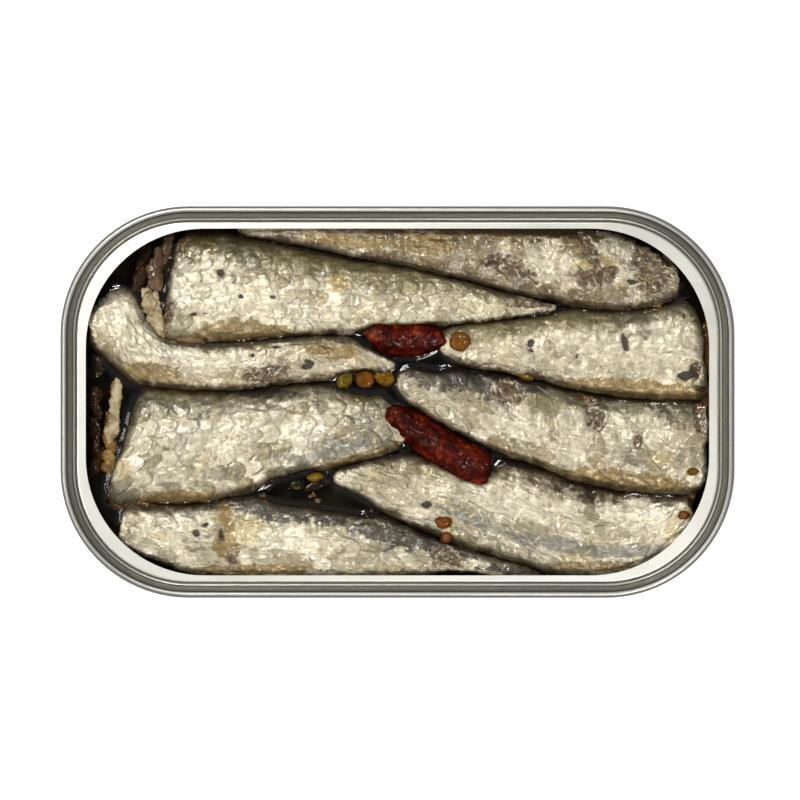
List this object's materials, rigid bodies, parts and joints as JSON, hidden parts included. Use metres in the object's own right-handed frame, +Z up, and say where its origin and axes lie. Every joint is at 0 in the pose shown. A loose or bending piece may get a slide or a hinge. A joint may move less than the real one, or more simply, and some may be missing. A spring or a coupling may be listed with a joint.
{
  "type": "open sardine tin",
  "caption": "Opened oblong fish tin with rounded corners, filled with headless silver sardines, dried chilli and oil.",
  "frame": {"origin": "centre of the base on the surface that the tin stands on", "axes": "+X along the tin's length, +Y across it, +Z up out of the opening"},
  "size_m": [0.105, 0.061, 0.028],
  "materials": {
    "metal": "satin tinplate",
    "oil": "clear dark golden oil",
    "sardine": "wet silver skin",
    "chilli": "wet dried pod"
  },
  "bodies": {
    "root": {"tin_body": "metal", "lid_ring": "metal", "oil": "oil", "sardine_1": "sardine", "sardine_2": "sardine", "sardine_3": "sardine", "sardine_4": "sardine", "sardine_5": "sardine", "sardine_6": "sardine", "sardine_7": "sardine", "sardine_8": "sardine", "chilli_1": "chilli", "chilli_2": "chilli"}
  },
  "joints": []
}
